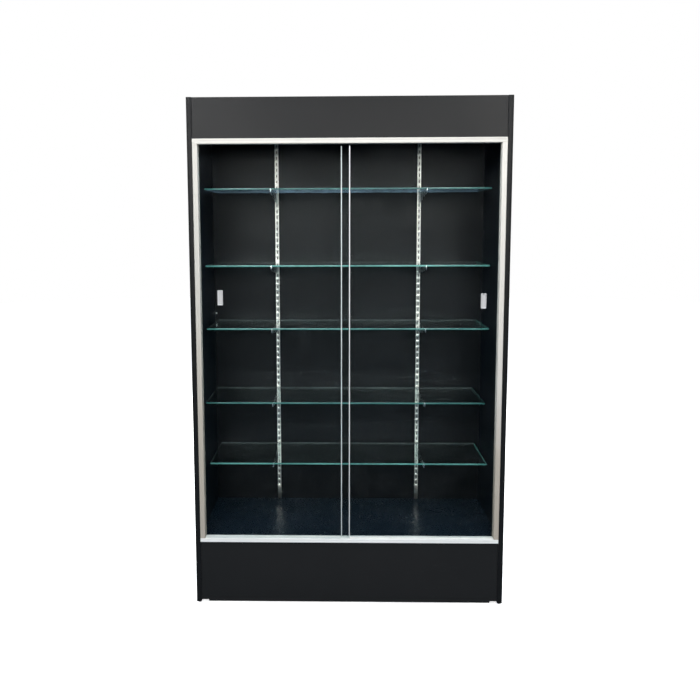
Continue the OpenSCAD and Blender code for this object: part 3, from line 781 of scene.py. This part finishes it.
# ---- brackets ----
bracket = {
    "root": 45.0, "belly": 0.80, "bellyAt": 0.35, "nose": 11.0,    # depth behind, partway and in front
    "lip": 5.5, "lipThick": 2.2,
    "gap": 0.1,           # between the blade and the standard's face
    "rise": 3.0, "neck": 2.5, "reach": 9.0, "hookDepth": 2.1, "hookThick": 2.2,    # the two hooks
    "soft": 0.35,
}


# Knife bracket: one outline, (distance in front of the standard, height over the shelf line, radius of
# the corner), with the lip in front and the two hooks behind
def bracketOutline(length):
    b = bracket
    lipBack = length - b["lipThick"]
    outline = [(0.3, -b["root"], 3.0), (length * b["bellyAt"], -b["root"] * b["belly"], 40.0),
               (length, -b["nose"], 5.0), (length, b["lip"], 0.9), (lipBack, b["lip"], 0.9),
               (lipBack, 0.0, 0.8), (0.0, 0.0, 0.0)]
    hookFront = -b["hookDepth"]
    hookBack = hookFront - b["hookThick"]
    for n in (0, 1):
        mid = -b["rise"] - n * standard["pitch"]
        outline += [(0.0, mid + b["neck"], 0.0), (hookBack, mid + b["neck"], 1.0),
                    (hookBack, mid - b["reach"], 1.0), (hookFront, mid - b["reach"], 0.8),
                    (hookFront, mid - b["neck"], 0.3), (0.0, mid - b["neck"], 0.5)]
    outline = np.array(outline)
    return roundCorners(outline[:, :2], outline[:, 2])


for side in ("left", "right"):
    for level in range(1, 6):
        name = f"bracket_{side}_{level}"
        low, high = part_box(name)
        line = high.z - bracket["lip"] * mm
        face = standardFace - bracket["gap"] * mm
        flat = bracketOutline((face - low.y) / mm) * mm
        # The outline stands in the YZ plane: Y = the standard's face less the distance, Z = line + height
        outline = np.stack([face - flat[:, 0], line + flat[:, 1]], 1)
        shape = carried(outline, "x", [low.x, high.x])
        addPiece("knife_" + name, shape, [bracketSteel], stands=[name],
                 bevel=bracket["soft"] * mm, smooth=35)
dress("shelf_cushions", saddleVinyl)
print("brackets made")

# ---- shelves ----
shelf = {"corner": 3.0, "arris": 0.7}


# A glass sheet: a rounded rectangle lofted through its thickness. Rings at the two faces are pulled
# in by the arris, so each edge has a flat between two narrow chamfers.
def sheetRings(width, height, thickness, corner, arris):
    inset = np.array([arris, 0.25 * arris, 0, 0, 0.25 * arris, arris])
    level = np.array([0, 0.35 * arris, arris, thickness - arris, thickness - 0.35 * arris, thickness])
    rings = [np.insert(roundedRectangle(width - 2 * i, height - 2 * i, corner), 2, z, axis=1)
             for i, z in zip(inset, level)]
    return np.array(rings)


for level in range(1, 6):
    low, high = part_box(f"shelf_{level}")
    corner = shelf["corner"] * mm
    rings = sheetRings(high.x - low.x, high.y - low.y, high.z - low.z, corner, shelf["arris"] * mm)
    around = rings.shape[1]
    points = rings.reshape(-1, 3) + [(low.x + high.x) / 2, (low.y + high.y) / 2, low.z]
    faces = loftFaces(len(rings), around)
    sides = (len(rings) - 1) * around
    # Material of each edge face: 1 in front, 2 behind, 3 at the sides; the two wide faces have 0
    faceY = points[np.array([face[0] for face in faces[:sides]]), 1]
    slack = 0.001 * mm
    atBack = faceY > high.y - corner - slack
    atFront = faceY < low.y + corner + slack
    indices = np.concatenate([np.where(atBack, 2, np.where(atFront, 1, 3)), [0, 0]]).astype(int).tolist()
    edges = [frontEdges[level - 1], otherEdges["streak" if level == 1 else "back"], otherEdges["side"]]
    addPiece(f"glass_shelf_{level}", (points, faces), [shelfGlass, *edges],
             stands=[f"shelf_{level}"], indices=indices, smooth=25)
print("shelves made")

# ---- front frame ----
section = {
    "depth": 38.1, "lanes": (11.5, 25.5), "channel": 9.0,
    # Of each section: how high or wide it is, how deep its channels are, and the band in its face
    "top": (19.5, 17.5, (13.0, 6.5)),
    "bottom": (15.5, 9.0, (9.5, 5.5)),
    "stile": (19.0, 8.0, (11.2, 8.0)),
    "corner": 0.7,      # radius of the outer corners
    "setBack": 0.35,    # how far the band of a face is set back
    "step": 0.4,        # length of the slope into the band
    "bevel": 0.15,
}


# Outline of a section with two channels cut from its far edge: (depth, height, radius of the corner),
# going round. The face at depth 0 has a band set back between two narrow steps.
def sectionOutline(height, channel, band):
    s = section
    outline = [(0.0, 0.0, s["corner"]), (s["depth"], 0.0, s["corner"]), (s["depth"], height, 0.5)]
    for lane in s["lanes"][::-1]:
        back, front = lane + s["channel"] / 2, lane - s["channel"] / 2
        outline += [(back, height, 0.45), (back, height - channel, 0.3), (front, height - channel, 0.3),
                    (front, height, 0.45)]
    top, bottom = band
    outline += [(0.0, height, s["corner"]), (0.0, top, 0.1), (s["setBack"], top - s["step"], 0.1),
                (s["setBack"], bottom + s["step"], 0.1), (0.0, bottom, 0.1)]
    outline = np.array(outline)
    return roundCorners(outline[:, :2], outline[:, 2], 3) * mm


for end, metal in (("top", railMetal), ("bottom", sillMetal)):
    name = f"frame_{end}_rail"
    low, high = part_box(name)
    outline = sectionOutline(*section[end])
    if end == "top":    # its channels open downwards
        outline = (outline * [1, -1])[::-1] + [0, section["top"][0] * mm]
    shape = carried(outline + [low.y, low.z], "x", [low.x, high.x])
    addPiece(name + "_section", shape, [metal], stands=[name],
             bevel=section["bevel"] * mm, smooth=28)

for side, sign in (("left", -1), ("right", 1)):
    name = "frame_stile_" + side
    low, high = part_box(name)
    # The same kind of section, with its channels cut from the inner side
    outline = sectionOutline(*section["stile"])
    outer = high.x if sign > 0 else low.x
    flat = np.stack([outer - sign * outline[:, 1], low.y + outline[:, 0]], 1)
    shape = carried(flat, "z", [low.z, high.z])
    addPiece(name + "_section", shape, [stileMetal[side]], stands=[name],
             bevel=section["bevel"] * mm, smooth=28)

dress("track_runners", nylonWhite)
dress("door_bumpers", rubberGrey)
dress("rail_screws", screwZinc)
dress("stile_screws", screwZinc)
print("front frame made")

# ---- doors ----
door = {
    "edgeWall": 0.8, "edgeBevel": 0.15,
    "corner": 1.5, "arris": 0.6,     # of the glass
    "pull": (20.5, 58.0, 4.6),       # width, height and thickness of a finger pull
    "rim": 3.0, "floor": 1.4, "soft": 0.35,    # width of its rim, thickness of its floor, radius of its edge
}


# The slim channel on a door's free edge: a U whose web is the free edge, outer corners rounded
def edgeOutline(low, high, sign):
    wall = door["edgeWall"] * mm
    web, mouth = (high.x, low.x) if sign > 0 else (low.x, high.x)
    inner = web - sign * wall
    outline = [(web, low.y, 0.5), (mouth, low.y, 0.15), (mouth, low.y + wall, 0.15),
               (inner, low.y + wall, 0.1), (inner, high.y - wall, 0.1), (mouth, high.y - wall, 0.15),
               (mouth, high.y, 0.15), (web, high.y, 0.5)]
    outline = np.array(outline)
    return roundCorners(outline[:, :2], outline[:, 2] * mm, 3)


# Finger pull: rounded rectangles lofted from the back plate, round the outer rim, over it and down
# the inner wall to the floor of the dish. Each station is (inset, radius, distance before the glass).
def pullShape(middle, glassY):
    width, height, depth = door["pull"]
    rim, floor, soft = door["rim"], door["floor"], door["soft"]
    stations = [(0, 2.0, 0), (0, 2.0, depth - soft), (soft * 0.3, 1.9, depth - soft * 0.3),
                (soft, 1.7, depth), (rim - 0.7, 1.6, depth), (rim - 0.2, 1.5, depth - 0.2),
                (rim, 1.5, depth - 0.8), (rim + 0.1, 1.5, floor + 1.1), (rim + 0.4, 1.4, floor + 0.35),
                (rim + 1.2, 1.0, floor)]
    rings = [np.insert(roundedRectangle(width - 2 * inset, height - 2 * inset, radius, 6), 1, -out, axis=1)
             for inset, radius, out in stations]
    points = np.concatenate(rings) * mm + [middle.x, glassY, middle.z]
    return points, loftFaces(len(rings), len(rings[0]))


for side, sign in (("left", 1), ("right", -1)):
    body = side + "_door"
    low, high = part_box("door_glass_" + side)
    # The sheet stands up: its rings are laid through its thickness along Y
    rings = sheetRings(high.x - low.x, high.z - low.z, high.y - low.y, door["corner"] * mm,
                       door["arris"] * mm)
    middle = (low + high) / 2
    points = rings.reshape(-1, 3)[:, [0, 2, 1]] + [middle.x, low.y, middle.z]
    faces = loftFaces(len(rings), rings.shape[1])
    indices = [1] * (len(faces) - 2) + [0, 0]
    addPiece("glass_door_" + side, (points, faces), [doorGlass, otherEdges["back"]], body,
             stands=["door_glass_" + side], indices=indices, smooth=25)
    low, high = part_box("door_edge_" + side)
    shape = carried(edgeOutline(low, high, sign), "z", [low.z, high.z])
    addPiece("door_channel_" + side, shape, [trimMetal], body, stands=["door_edge_" + side],
             bevel=door["edgeBevel"] * mm, smooth=30)
    low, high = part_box("finger_pull_" + side)
    shape = pullShape((low + high) / 2, high.y)
    addPiece("pull_" + side, shape, [pullMetal], body, stands=["finger_pull_" + side],
             smooth=30)
    dress("door_saddles_" + side, nylonWhite)
print("doors made")

# ---- floor, light and camera ----
studio = {
    "floorRadius": 14.0,
    "nearFloor": (0.72, 0.72, 0.72),    # how bright the floor looks by the cabinet, and far from it
    "farFloor": (1.05, 1.05, 1.05),
    "fade": (0.8, 3.2),                 # distances between which it brightens
    "felt": (0.19, 0.225, 0.27),        # tone of the floor as mirrors and boards see it
    "lamps": [
        # place, size (wide, deep), watts, colour, what it is aimed at
        ((0.05, -4.60, 1.92), (3.0, 0.8), 78, (1.0, 0.985, 0.955), (0.0, 0.0, 1.60)),
        ((-1.62, -4.50, 2.72), (0.8, 0.7), 52, (1.0, 0.99, 0.99), (0.0, 0.0, 1.60)),
        ((1.66, -4.50, 2.72), (0.8, 0.7), 40, (1.0, 0.975, 0.95), (0.0, 0.0, 1.60)),
        ((0.0, -1.40, 3.30), (3.5, 2.0), 120, (0.80, 0.90, 1.0), (0.0, -0.6, 0.0)),
        ((0.0, 3.6, 2.2), (3.0, 2.2), 170, (1.0, 0.99, 0.97), (0.0, 0.0, 1.0)),
        ((-3.6, 0.9, 2.2), (2.4, 2.0), 90, (0.97, 0.985, 1.0), (-0.6, 0.1, 1.0)),
        ((3.6, 0.9, 2.2), (2.4, 2.0), 90, (0.97, 0.985, 1.0), (0.6, 0.1, 1.0)),
    ],
    "air": (0.05, 0.08, 0.13),    # dim light from all round
}


# A disc of floor: point = (r cos a, r sin a, 0)
angle = np.linspace(0, 2 * math.pi, 96, endpoint=False)
ring = np.stack([np.cos(angle), np.sin(angle), 0 * angle], 1) * studio["floorRadius"]
floorMesh = bpy.data.meshes.new("studio_floor")
floorMesh.from_pydata(ring.tolist(), [], [list(range(len(ring)))])
floor = bpy.data.objects.new("studio_floor", floorMesh)
bpy.context.scene.collection.objects.link(floor)
floorPaint, r = newMaterial("floor_paint")
cameraRay = r.node("ShaderNodeLightPath", output="Is Camera Ray")
# The floor brightens away from the cabinet, until it is as white as the air behind it
distance = r.node("ShaderNodeVectorMath", {"operation": "LENGTH"}, {0: r.place()}, output="Value")
whiteness = r.mix(r.step(distance, *studio["fade"]), rgb(*studio["nearFloor"]), rgb(*studio["farFloor"]))
seen = r.principled({"Base Color": rgb(0.9, 0.9, 0.9), "Roughness": 0.8, "Specular IOR Level": 0.1,
                     "Emission Color": whiteness, "Emission Strength": 1.0})
felt = r.node("ShaderNodeBsdfDiffuse", {}, {"Color": rgb(*studio["felt"])})
r.surface(r.node("ShaderNodeMixShader", {}, {0: cameraRay, 1: felt, 2: seen}))
floorMesh.materials.append(floorPaint)

world = bpy.data.worlds.new("studio_air")
bpy.context.scene.world = world
world.use_nodes = True
r = Recipe(world.node_tree)
cameraRay = r.node("ShaderNodeLightPath", output="Is Camera Ray")
colour = r.mix(cameraRay, rgb(*studio["air"]), rgb(1, 1, 1))
r.surface(r.node("ShaderNodeBackground", {}, {"Color": colour, "Strength": 1.0}), "ShaderNodeOutputWorld")

for number, (place, size, watts, colour, aim) in enumerate(studio["lamps"], 1):
    lamp = bpy.data.lights.new(f"studio_lamp_{number}", "AREA")
    lamp.shape = "RECTANGLE"
    lamp.size, lamp.size_y = size
    lamp.energy = watts
    lamp.color = colour
    holder = bpy.data.objects.new(lamp.name, lamp)
    holder.location = place
    holder.rotation_euler = (Vector(aim) - Vector(place)).to_track_quat("-Z", "Y").to_euler()
    holder.visible_camera = False
    bpy.context.scene.collection.objects.link(holder)

viewpoint = {
    "place": (-0.0360, -3.3498, 1.5042),
    "down": 6.86, "left": 1.371, "roll": -0.195,    # degrees that the camera is turned by
    "lens": 41.79, "shift": (0.0424, -0.0384),
}
down, left, roll = (math.radians(viewpoint[key]) for key in ("down", "left", "roll"))
ahead = Vector((-math.sin(left), math.cos(left), 0))
right = Vector((math.cos(left), math.sin(left), 0))
look = ahead * math.cos(down) - Vector((0, 0, 1)) * math.sin(down)
over = ahead * math.sin(down) + Vector((0, 0, 1)) * math.cos(down)
axisX = right * math.cos(roll) + over * math.sin(roll)
axisY = over * math.cos(roll) - right * math.sin(roll)
camera = bpy.data.objects.new("camera", bpy.data.cameras.new("camera"))
camera.matrix_world = Matrix((axisX, axisY, -look)).transposed().to_4x4()
camera.location = viewpoint["place"]
camera.data.sensor_width = 36
camera.data.lens = viewpoint["lens"]
camera.data.shift_x, camera.data.shift_y = viewpoint["shift"]
camera.data.clip_end = 60
bpy.context.scene.collection.objects.link(camera)
bpy.context.scene.camera = camera
bpy.context.scene.view_settings.view_transform = "Standard"
bpy.context.scene.view_settings.look = "None"
print("studio set")
